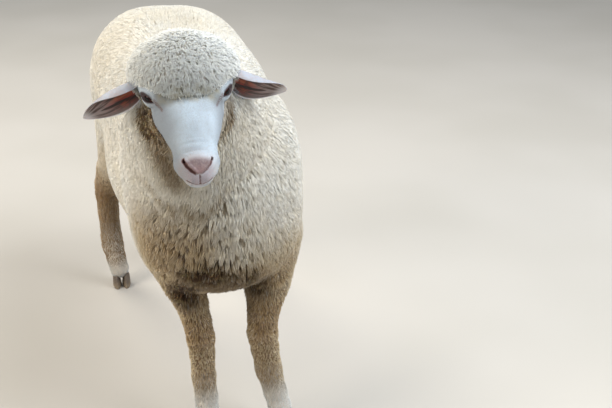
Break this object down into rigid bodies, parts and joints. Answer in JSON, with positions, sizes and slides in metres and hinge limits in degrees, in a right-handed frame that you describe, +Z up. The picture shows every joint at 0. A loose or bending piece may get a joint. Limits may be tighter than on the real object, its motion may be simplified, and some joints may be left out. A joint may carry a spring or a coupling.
{
  "type": "shorn sheep, life-size standing animal model",
  "caption": "Life-size still model of a shorn, polled white-faced sheep standing square with its head raised and turned slightly to its right.",
  "frame": {"origin": "middle of the bounding box, on the ground under the sheep", "axes": "+Z up; the sheep stands along Y and faces -Y; +X is its own left"},
  "size_m": [0.3778, 0.9826, 0.7759],
  "materials": {
    "fleece": "short cream wool, matt, warm tan in its depth",
    "leg_fleece": "short dusty wool on the legs, white hair at the feet",
    "face_hair": "short flat white hair over skin, soft sheen",
    "ear": "thin skin with fine white hair behind, bare and reddish brown inside",
    "eye": "wet, glossy, very dark brown",
    "hoof": "worn grey-brown horn, half matt"
  },
  "bodies": {
    "root": {"trunk": "fleece", "neck": "fleece", "tail": "fleece", "head": "face_hair", "ear_left": "ear", "ear_right": "ear", "eye_left": "eye", "eye_right": "eye", "leg_front_left": "leg_fleece", "leg_front_right": "leg_fleece", "leg_hind_left": "leg_fleece", "leg_hind_right": "leg_fleece", "hoof_front_left_outer": "hoof", "hoof_front_left_inner": "hoof", "hoof_front_right_outer": "hoof", "hoof_front_right_inner": "hoof", "hoof_hind_left_outer": "hoof", "hoof_hind_left_inner": "hoof", "hoof_hind_right_outer": "hoof", "hoof_hind_right_inner": "hoof"}
  },
  "joints": []
}
